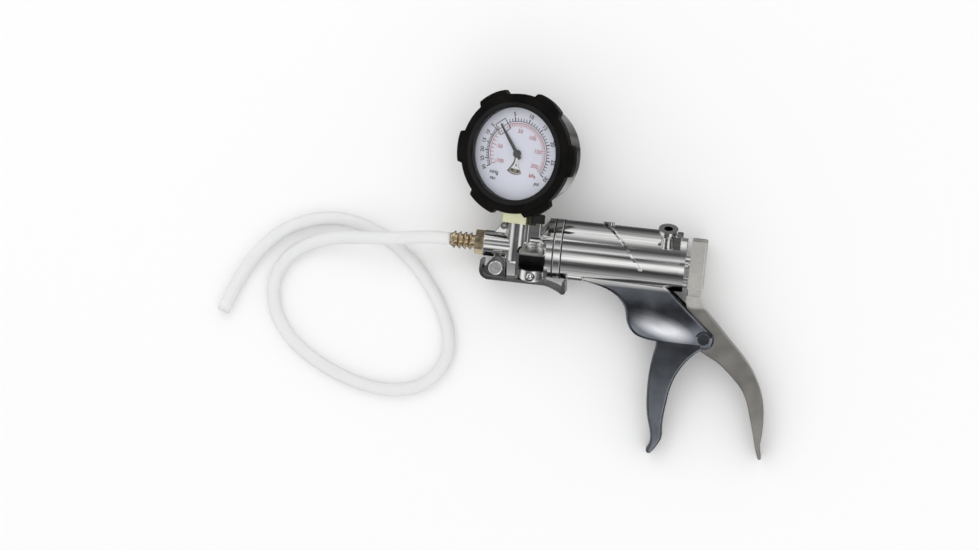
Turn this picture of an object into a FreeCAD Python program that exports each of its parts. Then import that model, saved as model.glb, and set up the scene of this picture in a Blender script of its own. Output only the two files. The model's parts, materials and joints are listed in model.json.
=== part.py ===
"""Hand vacuum pump with a pressure and vacuum gauge and a clear hose, all sizes in millimetres.

Everything is drawn in the pump's own frame: X runs along the barrel towards the rear, from
the front face of the barrel, Y points to the gauge and Z to the side that faces up when the
pump lies on its side.  seat() then tips the pump onto the surface it lies on.
"""
import FreeCAD, Part
import math
import os

V = FreeCAD.Vector
X_AXIS = V(1, 0, 0)
Y_AXIS = V(0, 1, 0)
Z_AXIS = V(0, 0, 1)

# How the pump lies: tipped about the barrel, on the gauge, the barrel and both handle tips
TILT = 6.0                  # degrees that the gauge is raised
REST_R = 16.4               # barrel axis above the surface
ORIGIN_X = 25.9             # centre of the pump's box, seen from the barrel's front face
ORIGIN_Y = -11.0

# Barrel
BARREL_R = 16.3
BARREL_END = 64.8
BORE_R = 12.5
PLATE_T = 4.4               # valve plate between the head and the barrel
SEAM = 0.5                   # rounding of the outer edges where barrel, plate and head meet
GASKET_T = 0.6
GASKET_OUT = 11.4
GASKET_IN = 9.6
CAP_T = 2.8
CAP_FLAT = 12.4             # the rear cap is cut flat above this height
SPIGOT_T = 4.0
PORT_X = 56.9               # rear port: its place along the barrel, radius and foot
PORT_R = 2.4
PORT_FOOT_Y = 8.9
PORT_FOOT_Z = 12.8
FIT = 0.05                  # radial clearance of sliding and located fits

# Screws of the head and of the cap
SCREW_PITCH_R = 14.35
SCREW_R = 1.25
SCREW_HEAD_R = 2.0
SCREW_HEAD_T = 2.0
SCREW_FIT = 0.05
HEAD_SCREW_ANGLES = (64, 134, 226, 296)
HEAD_SCREW_SEAT = -6.6
CAP_SCREW_ANGLES = (90, 139, 221, 270)

# Squeeze mechanism
PIVOT = V(82, -40, 0)
PIVOT_R = 2.5
BLANK_HALF = 12.0            # half thickness of handle outlines before their sides are tapered
PIVOT_FACE_R = 4.6           # flats that the pin's head and its clip bear on
ROD_PIN_X = 73.5
ROD_PIN_R = 2.0
ROD_R = 3.5
SQUEEZE = 42.0              # degrees that the lever turns
STROKE = 30.0               # travel of the piston over that turn
CHEEK_OUT = 9.6             # half widths of the forked front casting and of the lever arm
CHEEK_IN = 7.7
ARM_HALF = 7.4
FORK_OUT = 11.0
FORK_IN = 4.0
GROOVE_R = 2.15              # half width of the groove for the cross pin
GROOVE_HALF = 9.4
EJECTOR_MARKS = ((73.4, -3.4), (74.2, -10.5))
EJECTOR_R = 1.4
EJECTOR_DEEP = 0.25

# Gauge: distances along its face normal are counted from the stem axis
STEM_X = -25.3
GAUGE_Y = 50.0
GAUGE_TURN = 21.0           # degrees that the gauge is turned towards the head
CASE_R = 27.6
CASE_WALL = 0.9
CASE_BACK = -12.28
CASE_FRONT = 12.4
DIAL_AT = 11.2
DIAL_T = 0.6
DIAL_R = 26.6
WINDOW_R = 25.2
LENS_R = 26.4
LENS_BACK = 13.6
LENS_T = 1.6
BEZEL_R = 28.3
BEZEL_FRONT = 16.9
BOOT_BACK = 11.0
BOOT_FRONT = 16.2
BOOT_R = 32.6
BOOT_LUG_R = 35.5
BOOT_LUGS = 6
BOOT_LUG_TURN = -29.4        # first grip, in degrees from the top of the gauge
SOCKET_SIDE = 14.4
SOCKET_BOTTOM = 11.7

# Rubber plug in the spare port on the head, beside the gauge connection
PLUG_X = -15.0
PLUG_Y = 13.0
PLUG_Z = 5.0
PLUG_R = 3.9
PLUG_T = 4.8
PLUG_STEM_R = 1.6
PLUG_STEM_LONG = 5.0

# Threaded connections of the fitting and of the gauge
THREAD_R = 3.97
THREAD_HOLE_R = 4.0

# Inlet and hose
INLET_Y = -1.2
INLET_END = -43.6
HEX_ACROSS = 11.8
HEX_T = 4.7
BARB_ROOT_R = 3.5
BARB_R = 4.8
BARB_PITCH = 3.0
BARBS = 4
NOSE_R = 2.3
NOSE_IN_HOSE = 6.0
HOSE_R = 3.5
HOSE_START = -62.4

# The inclined features of the head and barrel lean this far from Y towards Z
LEAN = 27.0

# Release valve
VALVE_X = -15.8
VALVE_TOP_Y = -2.2
VALVE_TOP_Z = 12.8
VALVE_R = 7.0
VALVE_LONG = 15.8
VALVE_FLAT = 1.2             # height of the milled flat above the valve's axis
VALVE_LEDGE = -8.4           # where the flat ends, below the valve's top
VALVE_HOLE_Y = -12.0
VALVE_HOLE_R = 2.9
BALL_R = 2.4
HOUSING_R = 8.7
SEAT_X = -22.0
RELEASE_X = -35.0
RELEASE_Y = -13.3
RELEASE_HALF = 8.4
RELEASE_SCREW_R = 1.6

# Dial: turned on its face, and where the scale's zero stands from the top of the dial
DIAL_TURN = 6.0
ZERO_ANGLE = 43.0

SPRING_END = 60.8           # inner face of the rear cap, where the return spring stands


# ---------------------------------------------------------------- helpers

def cyl(base, direction, radius, length):
    return Part.makeCylinder(radius, length, base, direction)


def disc_x(x0, x1, radius, y=0.0, z=0.0):
    return Part.makeCylinder(radius, x1 - x0, V(x0, y, z), X_AXIS)


def ring_x(x0, x1, outer, inner):
    return disc_x(x0, x1, outer).cut(disc_x(x0 - 1, x1 + 1, inner))


def box(x0, x1, y0, y1, z0, z1):
    return Part.makeBox(x1 - x0, y1 - y0, z1 - z0, V(x0, y0, z0))


def slab(wire_edges, half):
    """Closed outline in the XY plane, made into a plate from -half to +half."""
    face = Part.Face(Part.Wire(Part.__sortEdges__(wire_edges)))
    face.translate(V(0, 0, -half))
    return face.extrude(V(0, 0, 2 * half))


def curve(points):
    spline = Part.BSplineCurve()
    spline.interpolate([V(x, y, 0) for x, y in points])
    return spline.toShape()


def chain(*stretches):
    """Edges of a closed outline: a stretch of two points is a line, a longer one a curve."""
    edges = []
    for stretch in stretches:
        if len(stretch) == 2:
            (xa, ya), (xb, yb) = stretch
            edges.append(Part.makeLine(V(xa, ya, 0), V(xb, yb, 0)))
        else:
            edges.append(curve(stretch))
    return edges


def polygon(points, half):
    loop = [V(x, y, 0) for x, y in points]
    return slab([Part.makeLine(a, b) for a, b in zip(loop, loop[1:] + loop[:1])], half)


def side_taper(stations):
    """Block along X whose half width in Z follows a smooth curve through (y, half) stations."""
    near, far = stations[0][0], stations[-1][0]
    edges = []
    for side in (1, -1):
        flank = Part.BSplineCurve()
        flank.interpolate([V(-100, y, side * half) for y, half in stations])
        edges.append(flank.toShape())
    edges.append(Part.makeLine(V(-100, near, stations[0][1]), V(-100, near, -stations[0][1])))
    edges.append(Part.makeLine(V(-100, far, stations[-1][1]), V(-100, far, -stations[-1][1])))
    face = Part.Face(Part.Wire(Part.__sortEdges__(edges)))
    return face.extrude(V(300, 0, 0))


def rest_half(y):
    """Half width at height y that just reaches the surface under the tilted pump."""
    tilt = math.radians(TILT)
    return (REST_R - abs(y) * math.sin(tilt)) / math.cos(tilt)


def soften(shape, radius, chosen):
    """Round the chosen edges as far as they allow, up to the given radius."""
    edges = [edge for edge in shape.Edges if chosen(edge)]
    for share in (1.0, 0.75, 0.5, 0.3):
        try:
            rounded = shape.makeFillet(radius * share, edges)
        except Exception:
            continue
        if rounded.isValid() and rounded.Volume > 0.8 * shape.Volume:
            return rounded
    print("left sharp:", len(edges), "edges at", radius)
    return shape


def beside(nearest):
    """Edges of an outline plate that run along one of its two sides, not across it."""
    def chosen(edge):
        bounds = edge.BoundBox
        across = bounds.XLength + bounds.YLength < 0.05
        return not across and min(abs(bounds.ZMin), abs(bounds.ZMax)) > nearest
    return chosen


def screws_x(angles, head_x, head_t, tip_x):
    """Screws along X on the pitch circle, heads at head_x on the side away from the tips."""
    pieces = []
    sign = 1 if tip_x > head_x else -1
    for angle in angles:
        y = SCREW_PITCH_R * math.cos(math.radians(angle))
        z = SCREW_PITCH_R * math.sin(math.radians(angle))
        head = cyl(V(head_x - sign * head_t, y, z), V(sign, 0, 0), SCREW_HEAD_R, head_t)
        shank = cyl(V(head_x, y, z), V(sign, 0, 0), SCREW_R, abs(tip_x - head_x))
        slot = box(-0.35, 0.35, -SCREW_HEAD_R, SCREW_HEAD_R, -0.35, 0.35)
        slot.translate(V(head_x - sign * head_t, y, z))
        pieces.append(head.fuse(shank).cut(slot).removeSplitter())
    return Part.makeCompound(pieces)


def screw_holes(angles, x0, x1, radius):
    holes = []
    for angle in angles:
        y = SCREW_PITCH_R * math.cos(math.radians(angle))
        z = SCREW_PITCH_R * math.sin(math.radians(angle))
        holes.append(disc_x(x0, x1, radius, y, z))
    return holes


def coil_spring(base, direction, mean_r, wire_r, length, turns):
    """Round wire wound on a helix, standing on base along direction."""
    per_turn = 14
    sides = 8
    sections = []
    for index in range(int(turns * per_turn) + 1):
        angle = 2 * math.pi * index / per_turn
        outward = V(math.cos(angle), math.sin(angle), 0)
        centre = outward * mean_r + V(0, 0, length * index / (turns * per_turn))
        ring = [centre + outward * wire_r * math.cos(2 * math.pi * side / sides)
                + V(0, 0, wire_r * math.sin(2 * math.pi * side / sides)) for side in range(sides)]
        sections.append(Part.makePolygon(ring + ring[:1]))
    spring = Part.makeLoft(sections, True, True)
    spring.Placement = FreeCAD.Placement(base, FreeCAD.Rotation(Z_AXIS, direction))
    return spring


# ---------------------------------------------------------------- barrel and front handle

def front_handle():
    """Casting under the barrel: finger guard, cheeks for the pivot, and the fixed grip."""
    shield = slab(chain(
        [(12, -12), (12, -15.6)],
        [(12, -15.6), (24, -17.6), (33, -22.0), (37.6, -28), (39.6, -35.5), (44.5, -41.4),
         (53, -43.8), (62, -44.8)],
        [(62, -44.8), (80.5, -45.6)],
        [(80.5, -45.6), (86, -44.6), (87.7, -40), (85.2, -35.6)],
        [(85.2, -35.6), (57.5, -13)],
        [(57.5, -13), (12, -12)]), BLANK_HALF)
    shield = shield.common(side_taper([(-6, 8.8), (-14, 9.3), (-22, 10.0), (-30, 10.3),
                                       (-36, 10.0), (-42, 9.0), (-48, 7.4)]))
    shield = soften(shield, 1.6, beside(4))
    hollow = slab(chain(
        [(59, -10), (52, -19)],
        [(52, -19), (60, -30), (69, -37), (66, -41.2)],
        [(66, -41.2), (66, -50)],
        [(66, -50), (95, -50)],
        [(95, -50), (95, -20)],
        [(95, -20), (59, -10)]), CHEEK_IN)
    grip = slab(chain(
        [(56.4, -40), (56.4, -46.8)],
        [(56.4, -46.8), (54.4, -60.6), (54.4, -73.9), (56.2, -87), (58.8, -98), (58.4, -101.4),
         (57.0, -104.2)],
        [(57.0, -104.2), (57.6, -105.9), (59.4, -106.3)],
        [(59.4, -106.3), (62.2, -102.6), (64.9, -97.0)],
        [(64.9, -97.0), (64.4, -90), (65.3, -79), (67.4, -66.6), (71.4, -57.3), (76.6, -50.4),
         (82.0, -46.0)],
        [(82.0, -46.0), (82, -40)],
        [(82, -40), (56.4, -40)]), BLANK_HALF)
    grip = grip.common(side_taper([(-30, 8.5), (-50, 8.6), (-70, 7.9), (-88, 6.7),
                                   (-98, rest_half(98) - 0.15), (-106.0, rest_half(106.0)),
                                   (-110, rest_half(106.0) - 0.3)]))
    grip = soften(grip, 1.2, beside(4))
    grip_hollow = slab(chain(
        [(60.2, -48), (58.2, -62)],
        [(58.2, -62), (58.0, -74), (59.6, -86), (62.0, -96.4)],
        [(62.0, -96.4), (90, -96.4)],
        [(90, -96.4), (90, -48)],
        [(90, -48), (60.2, -48)]), BLANK_HALF)
    grip_hollow = grip_hollow.common(side_taper([(-30, 6.0), (-50, 6.1), (-70, 5.5), (-97, 3.4)]))
    handle = shield.fuse(grip)
    handle = handle.cut(hollow).cut(grip_hollow)
    for face in (CHEEK_OUT, -CHEEK_OUT - 6):
        handle = handle.cut(cyl(PIVOT + V(0, 0, face), Z_AXIS, PIVOT_FACE_R, 6))
    return handle.cut(cyl(PIVOT - V(0, 0, 20), Z_AXIS, PIVOT_R + 0.01, 40))


def rear_port():
    """Flared boss on the rear of the barrel and the hole down to the bore."""
    neck = Part.makeCone(3.6, 3.0, 9.0, V(PORT_X, 0, 0), Y_AXIS)
    cup = Part.makeCone(3.2, 5.3, 2.6, V(PORT_X, 6.6, 0), Y_AXIS)
    rim = cyl(V(PORT_X, 9.2, 0), Y_AXIS, 5.3, 2.0)
    gusset = box(60.2, 64.2, -2.6, 7.4, -2.2, 2.2)
    boss = neck.fuse(cup).fuse(rim).fuse(gusset)
    hole = cyl(V(PORT_X, 3.0, 0), Y_AXIS, PORT_R, 12).fuse(cyl(V(PORT_X, -6.0, 0), Y_AXIS, 1.0, 10))
    for shape in (boss, hole):
        shape.rotate(V(0, 0, 0), X_AXIS, LEAN)
        shape.translate(V(0, PORT_FOOT_Y, PORT_FOOT_Z))
    return boss, hole


def slanting_rib():
    """Raised bead that winds from the top of the barrel down its side."""
    start, end = 8.5, 109.5
    rise = 22.4
    steps = 14
    sections = []
    for index in range(steps + 1):
        share = index / steps
        angle = math.radians(start + (end - start) * share)
        x = 21.6 + rise * share
        outward = V(0, math.cos(angle), math.sin(angle))
        half = 0.85 if share > 0.45 else 0.7
        foot = V(x, 0, 0) + outward * (BARREL_R - 0.6)
        crest = V(x, 0, 0) + outward * (BARREL_R + (1.3 if share > 0.1 else 1.6))
        corners = [foot - X_AXIS * half * 1.3, foot + X_AXIS * half * 1.3,
                   crest + X_AXIS * half, crest - X_AXIS * half]
        sections.append(Part.makePolygon(corners + corners[:1]))
    return Part.makeLoft(sections, True, True)


def barrel_casting():
    body = soften(disc_x(0, BARREL_END, BARREL_R), SEAM, lambda edge: edge.BoundBox.XMax < 1)
    body = body.fuse(front_handle())
    boss, hole = rear_port()
    body = body.fuse(boss).fuse(slanting_rib())
    knob = cyl(V(24.6, 15.2, 1.5), Y_AXIS, 2.6, 2.3)
    body = body.fuse(knob)
    body = body.cut(disc_x(-1, BARREL_END + 1, BORE_R)).cut(hole)
    for drill in screw_holes(HEAD_SCREW_ANGLES, -1, 8, SCREW_R):
        body = body.cut(drill)
    for drill in screw_holes(CAP_SCREW_ANGLES, BARREL_END - 6, BARREL_END + 1, SCREW_R):
        body = body.cut(drill)
    return body.removeSplitter()


def rear_cap():
    cap = disc_x(BARREL_END, BARREL_END + CAP_T, REST_R)
    cap = cap.cut(box(BARREL_END - 1, 80, CAP_FLAT, 30, -30, 30))
    cap = cap.fuse(disc_x(BARREL_END - SPIGOT_T, BARREL_END, BORE_R - 0.02))
    cap = cap.cut(disc_x(0, 90, 5.5))
    for drill in screw_holes(CAP_SCREW_ANGLES, 60, 80, SCREW_R + SCREW_FIT):
        cap = cap.cut(drill)
    return cap.removeSplitter()


# ---------------------------------------------------------------- squeeze lever

def rod_pin_seen_by_lever(share):
    """Where the rod's cross pin is, drawn on the lever, at a share of the full squeeze."""
    turn = math.radians(SQUEEZE * share)
    dx = ROD_PIN_X + STROKE * share - PIVOT.x
    dy = -PIVOT.y
    x = PIVOT.x + dx * math.cos(turn) - dy * math.sin(turn)
    y = PIVOT.y + dx * math.sin(turn) + dy * math.cos(turn)
    return V(x, y, 0)


def lever_groove():
    """Groove for the cross pin, open at the top of the fork.

    The piston moves in proportion to the lever's turn, so the groove follows the pin's
    place as the lever sees it, plus the clearance of the open pivot.
    """
    steps = 8
    places = [rod_pin_seen_by_lever(index / steps) for index in range(-1, steps + 1)]
    places.append(places[-1] + V(-1.6, 6.0, 0))
    places.append(places[-1] + V(-1.8, 6.0, 0))
    depth = 2 * GROOVE_HALF
    groove = None
    for here, there in zip(places, places[1:]):
        run = there - here
        bar = Part.makeBox(run.Length, 2 * GROOVE_R, depth, V(0, -GROOVE_R, -GROOVE_HALF))
        bar.rotate(V(0, 0, 0), Z_AXIS, math.degrees(math.atan2(run.y, run.x)))
        bar.translate(here)
        end = cyl(here - V(0, 0, GROOVE_HALF), Z_AXIS, GROOVE_R, depth)
        piece = bar.fuse(end)
        groove = piece if groove is None else groove.fuse(piece)
    return groove


def squeeze_lever():
    arm = slab(chain(
        [(70.6, -14), (70.3, -20)],
        [(70.3, -20), (72.2, -27), (76.4, -33.6), (76.0, -41), (79.0, -45.4), (90.5, -51.8),
         (98.4, -58.1), (104.4, -64.0), (108.3, -70.4), (110.8, -77.6), (113.8, -87.4),
         (116.2, -96.5)],
        [(116.2, -96.5), (118.3, -102.3)],
        [(118.3, -102.3), (119.2, -102.9), (120.2, -102.4)],
        [(120.2, -102.4), (118.7, -95.4)],
        [(118.7, -95.4), (119.3, -87.9), (119.1, -79.1), (117.2, -69.3), (113.6, -60.9),
         (108.3, -52.6), (102, -45.6), (95.5, -39.2), (87, -30.6), (81.2, -24.8), (77.9, -19.0)],
        [(77.9, -19.0), (77.9, -14)],
        [(77.9, -14), (70.6, -14)]), ARM_HALF)
    arm = arm.common(side_taper([(-10, ARM_HALF), (-40, ARM_HALF), (-60, ARM_HALF),
                                 (-76, 7.1), (-90, 6.4), (-102.4, rest_half(102.4)),
                                 (-106, rest_half(102.4) - 0.2)]))
    arm = soften(arm, 1.2, beside(4))
    channel = slab(chain(
        [(84, -51.5), (92, -45.5)],
        [(92, -45.5), (99.6, -47.4), (106.0, -54.6), (111.0, -62.2), (114.4, -70.2),
         (116.2, -79.1), (116.4, -87.9), (115.0, -95.0)],
        [(115.0, -95.0), (108, -95.0)],
        [(108, -95.0), (84, -51.5)]), 5.2)
    channel = channel.common(side_taper([(-40, 5.2), (-60, 5.2), (-76, 4.9), (-96, 3.6)]))
    block = box(70.2, 78.6, -13.4, 13.0, -FORK_OUT, FORK_OUT)
    block = soften(block, 0.9, lambda edge: edge.BoundBox.XMax > 78 and edge.BoundBox.XLength < 0.1)
    neck = box(70.8, 77.4, -17.2, -13.0, -9.6, 9.6)
    foot = polygon([(70.2, -17.0), (77.9, -17.0), (77.9, -20.0), (77.4, -24.2), (73.4, -24.2),
                    (70.2, -20.4)], FORK_OUT)
    lever = arm.cut(channel).fuse(block).fuse(neck).fuse(foot)
    lever = lever.cut(box(60, 80, -12.0, 14, -FORK_IN, FORK_IN))
    lever = lever.cut(lever_groove())
    notch = box(74.8, 80, 9.6, 14, 5.4, 9.2)
    lever = lever.cut(notch)
    for x, y in EJECTOR_MARKS:
        lever = lever.cut(cyl(V(x, y, FORK_OUT - EJECTOR_DEEP), Z_AXIS, EJECTOR_R, 1))
    lever = lever.cut(cyl(PIVOT - V(0, 0, 20), Z_AXIS, PIVOT_R + FIT, 40))
    return lever.removeSplitter()


# ---------------------------------------------------------------- piston

def piston_parts():
    nut = Part.Face(Part.makePolygon([V(1.2, 4.2 * math.cos(math.radians(a)),
                                        4.2 * math.sin(math.radians(a)))
                                      for a in range(0, 361, 60)])).extrude(V(2.2, 0, 0))
    nut = nut.cut(disc_x(0, 9, 2.0))
    washer = ring_x(3.4, 4.6, 9.0, 2.0)
    cup = disc_x(4.6, 6.2, 12.3).fuse(disc_x(6.2, 9.6, 12.42))
    cup = cup.cut(disc_x(6.2, 9.7, 11.2)).cut(disc_x(4, 7, 2.0))
    body = disc_x(6.2, 9.6, 11.15).fuse(disc_x(9.6, 16.0, BORE_R - 0.2))
    body = body.cut(disc_x(6, 12, 2.0)).cut(disc_x(12, 17, ROD_R))
    body = body.cut(ring_x(12.0, 13.6, 13, 11.0))
    guide = ring_x(12.0, 13.6, BORE_R - 0.04, 11.0)
    rod = disc_x(1.2, 12.0, 2.0).fuse(disc_x(12.0, ROD_PIN_X + 3.8, ROD_R))
    rod = rod.cut(cyl(V(ROD_PIN_X, 0, -9), Z_AXIS, ROD_PIN_R, 18))
    pin = cyl(V(ROD_PIN_X, 0, -9.2), Z_AXIS, ROD_PIN_R, 18.4)
    return {"piston_nut": nut, "piston_washer": washer, "piston_cup_seal": cup.removeSplitter(),
            "piston_body": body.removeSplitter(), "piston_guide_ring": guide,
            "piston_rod": rod.removeSplitter(), "rod_cross_pin": pin}


def return_spring():
    return coil_spring(V(17.0, 0, 0), X_AXIS, 8.0, 0.7, SPRING_END - 17.0 - 0.8, 8)


# ---------------------------------------------------------------- head

def valve_plate():
    plate = soften(disc_x(-PLATE_T, 0, BARREL_R + 0.1), SEAM, lambda edge: True)
    for y in (5.0, -5.0):
        plate = plate.cut(disc_x(-PLATE_T - 1, 1, 2.6, y, 0))
    for drill in screw_holes(HEAD_SCREW_ANGLES, -9, 1, SCREW_R + SCREW_FIT):
        plate = plate.cut(drill)
    return plate


def check_valve(y, opens_back):
    """Rubber umbrella valve: stem through the plate and a thin cap on the side it opens to."""
    stem = disc_x(-PLATE_T, 0, 2.55, y, 0)
    if opens_back:
        return stem.fuse(disc_x(0, 0.8, 3.4, y, 0)).removeSplitter()
    return stem.fuse(disc_x(-PLATE_T - 0.8, -PLATE_T, 3.4, y, 0)).removeSplitter()


def valve_housing_frame(shape):
    """From a boss drawn along +Y at the origin to its leaning place on the head."""
    shape.rotate(V(0, 0, 0), X_AXIS, LEAN)
    shape.translate(V(VALVE_X, VALVE_TOP_Y, VALVE_TOP_Z))
    return shape


def head_casting():
    flange_end = -PLATE_T
    head = disc_x(-8.2, flange_end, BARREL_R)
    head = soften(head, SEAM, lambda edge: edge.BoundBox.XMin > flange_end - 1)
    head = head.fuse(Part.makeCone(9.2, BARREL_R - 0.4, 4.4, V(-12.6, 0, 0), X_AXIS))
    head = head.fuse(disc_x(-30, -12, 9.2))
    inlet = disc_x(INLET_END, -24, 7.1, INLET_Y)
    inlet = soften(inlet, 0.6, lambda edge: edge.BoundBox.XMax < INLET_END + 0.1)
    head = head.fuse(inlet)
    head = head.cut(box(-31, -18.0, -30, 30, 5.2, 30)).cut(box(-31, -18.0, 6.0, 30, -30, 30))
    head = head.fuse(disc_x(INLET_END + 2, -16, 7.1, INLET_Y))
    gauge_boss = cyl(V(STEM_X, -9.0, 1.2), Y_AXIS, 6.8, 9.0 + SOCKET_BOTTOM)
    flare = Part.makeCone(8.0, 6.8, 4.0, V(STEM_X + 1.8, -10.0, 0.4), Y_AXIS)
    block = box(-20.0, -12.4, -2.0, PLUG_Y, -7.0, 7.6)
    block = soften(block, 1.0, lambda edge: edge.BoundBox.YLength > 10)
    head = head.fuse(gauge_boss).fuse(flare).fuse(block)
    ramp = polygon([(-13.0, 5.0), (-6.0, 5.0), (-6.0, 15.6), (-8.2, 15.6), (-13.0, 9.4)], 6.0)
    head = head.fuse(ramp)
    web = polygon([(-40.4, 3.0), (-25.0, 3.0), (-25.0, 11.4), (-33.6, 11.4)], 0.9)
    web.rotate(V(0, 0, 0), X_AXIS, 14)
    eye = cyl(V(-33.2, 9.6, -1.4), Z_AXIS, 1.9, 6.4)
    head = head.fuse(web).fuse(eye).cut(cyl(V(-33.2, 9.6, -5), Z_AXIS, 0.9, 20))
    housing = cyl(V(0, -17.6, 0), Y_AXIS, HOUSING_R, 17.0)
    bed = cyl(V(0, -19.6, 0), Y_AXIS, VALVE_R + FIT, 22.0)
    front = box(-12, 12, -25, 5, 1.2, 12)
    head = head.fuse(valve_housing_frame(housing.cut(front)))
    head = head.fuse(box(-24, -8.6, -14.4, -4, -8, 4.0))
    head = head.cut(valve_housing_frame(bed))
    lug = cyl(V(RELEASE_X, RELEASE_Y, -6.4), Z_AXIS, 3.8, 10.2)
    head = head.fuse(lug).fuse(box(RELEASE_X - 1.8, RELEASE_X + 1.8, RELEASE_Y, -5, -6.0, 3.0))
    head = head.cut(cyl(V(RELEASE_X, RELEASE_Y, -30), Z_AXIS, RELEASE_SCREW_R, 60))
    head = head.cut(disc_x(-50, INLET_END + 7.0, THREAD_HOLE_R, INLET_Y))
    head = head.cut(disc_x(INLET_END + 6.9, -6, 1.8, INLET_Y))
    head = head.cut(cyl(V(STEM_X, SOCKET_BOTTOM - 7.0, 0), Y_AXIS, THREAD_HOLE_R, 9.0))
    head = head.cut(cyl(V(STEM_X, INLET_Y, 0), Y_AXIS, 1.4, 9.0))
    head = head.cut(disc_x(-7.2, flange_end + 1, 8.6))
    head = head.cut(ring_x(-PLATE_T - GASKET_T, flange_end + 1, GASKET_OUT, GASKET_IN))
    head = head.cut(box(-36, STEM_X + 9.6, SOCKET_BOTTOM, 20, -12, 12))
    head = head.cut(cyl(V(SEAT_X, -18.2, 0), Y_AXIS, 2.0, 6.0))
    head = head.cut(cyl(V(SEAT_X, -18.2, 0), Y_AXIS, 0.9, 16.0))
    head = head.cut(cyl(V(PLUG_X, PLUG_Y - PLUG_STEM_LONG - 0.2, PLUG_Z), Y_AXIS,
                        PLUG_STEM_R + FIT, PLUG_STEM_LONG + 5))
    for pocket in screw_holes(HEAD_SCREW_ANGLES, -20, HEAD_SCREW_SEAT, 2.9):
        head = head.cut(pocket)
    for drill in screw_holes(HEAD_SCREW_ANGLES, -9, 0, SCREW_R + SCREW_FIT):
        head = head.cut(drill)
    return head.removeSplitter()


def head_gasket():
    return ring_x(-PLATE_T - GASKET_T, -PLATE_T, GASKET_OUT, GASKET_IN)


def port_plug():
    """Round rubber cap on a stem that closes the spare port."""
    cap = cyl(V(PLUG_X, PLUG_Y, PLUG_Z), Y_AXIS, PLUG_R, PLUG_T)
    cap = soften(cap, 0.9, lambda edge: edge.BoundBox.YMin > PLUG_Y + PLUG_T - 0.1)
    dimple = cyl(V(PLUG_X, PLUG_Y + PLUG_T - 0.6, PLUG_Z), Y_AXIS, 1.4, 2.0)
    stem = cyl(V(PLUG_X, PLUG_Y - PLUG_STEM_LONG, PLUG_Z), Y_AXIS, PLUG_STEM_R,
               PLUG_STEM_LONG + 1)
    return cap.cut(dimple).fuse(stem).removeSplitter()


def release_valve_body():
    """Round valve body, milled flat on the upper front, with a cross hole lower down."""
    body = cyl(V(0, -VALVE_LONG, 0), Y_AXIS, VALVE_R, VALVE_LONG)
    body = soften(body, 0.5, lambda edge: edge.BoundBox.YMin > -0.1)
    body = soften(body, 1.0, lambda edge: edge.BoundBox.YMax < 0.1 - VALVE_LONG)
    body = body.cut(box(-12, 12, VALVE_LEDGE, 5, VALVE_FLAT, 12))
    body = body.cut(cyl(V(0, VALVE_HOLE_Y, 3.0), Z_AXIS, VALVE_HOLE_R, 8))
    return valve_housing_frame(body)


def release_ball():
    ball = Part.makeSphere(BALL_R, V(0, VALVE_HOLE_Y, 5.4))
    return valve_housing_frame(ball)


def release_lever():
    """Finger lever under the head: a pressed channel that turns on the shoulder screw."""
    outer = chain(
        [(-44.0, -10.0), (-44.2, -14.4)],
        [(-44.2, -14.4), (-43.0, -18.4), (-39.4, -20.4)],
        [(-39.4, -20.4), (-7.5, -20.4)],
        [(-7.5, -20.4), (-2.4, -21.9), (2.0, -24.2)],
        [(2.0, -24.2), (3.6, -24.0), (4.0, -22.6)],
        [(4.0, -22.6), (3.4, -17.4)],
        [(3.4, -17.4), (2.0, -17.4)],
        [(2.0, -17.4), (1.6, -21.6)],
        [(1.6, -21.6), (-2.6, -19.9), (-7.8, -18.6)],
        [(-7.8, -18.6), (-38.6, -18.6)],
        [(-38.6, -18.6), (-41.4, -17.4), (-42.5, -14.4)],
        [(-42.5, -14.4), (-42.4, -10.0)],
        [(-42.4, -10.0), (-44.0, -10.0)])
    plate = slab(outer, RELEASE_HALF)
    plate = plate.common(side_taper([(0, 7.0), (-17, RELEASE_HALF), (-30, RELEASE_HALF)]))
    ears = None
    for low in (4.4, -8.4):
        ear = slab(chain(
            [(-43.6, -16.0), (-41.6, -19.6)],
            [(-41.6, -19.6), (-30.0, -19.6)],
            [(-30.0, -19.6), (-30.4, -12.8)],
            [(-30.4, -12.8), (-32.4, -9.2), (RELEASE_X, -8.4), (-37.8, -9.2), (-40.2, -12.4)],
            [(-40.2, -12.4), (-43.6, -16.0)]), 0.8)
        ear.translate(V(0, 0, low + 0.8))
        ears = ear if ears is None else ears.fuse(ear)
    lever = plate.fuse(ears)
    hole = cyl(V(RELEASE_X, RELEASE_Y, -20), Z_AXIS, RELEASE_SCREW_R + 2 * FIT, 40)
    return lever.cut(hole).removeSplitter()


def release_screw():
    """Shoulder screw through both ears and the lug, with a hexagon socket in its head."""
    head = cyl(V(RELEASE_X, RELEASE_Y, 9.6), Z_AXIS, 3.9, 2.4)
    head = soften(head, 0.7, lambda edge: edge.BoundBox.ZMin > 11.9)
    shank = cyl(V(RELEASE_X, RELEASE_Y, -10.6), Z_AXIS, RELEASE_SCREW_R, 20.4)
    socket = Part.Face(Part.makePolygon([V(RELEASE_X + 1.9 * math.cos(math.radians(a)),
                                           RELEASE_Y + 1.9 * math.sin(math.radians(a)), 10.6)
                                         for a in range(0, 361, 60)])).extrude(V(0, 0, 3))
    tip = cyl(V(RELEASE_X, RELEASE_Y, -11.4), Z_AXIS, 2.9, 1.9)
    return head.fuse(shank).fuse(tip).cut(socket).removeSplitter()


def release_spring():
    return coil_spring(V(RELEASE_X, RELEASE_Y, 6.75), Z_AXIS, 3.0, 0.45, 2.3, 2.0)


def release_pad():
    return cyl(V(SEAT_X, -18.6, 0), Y_AXIS, 3.0, 1.6)


def release_seat():
    seat = cyl(V(SEAT_X, -17.0, 0), Y_AXIS, 1.98, 4.6).cut(cyl(V(SEAT_X, -18, 0), Y_AXIS, 0.8, 9))
    return seat


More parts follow.
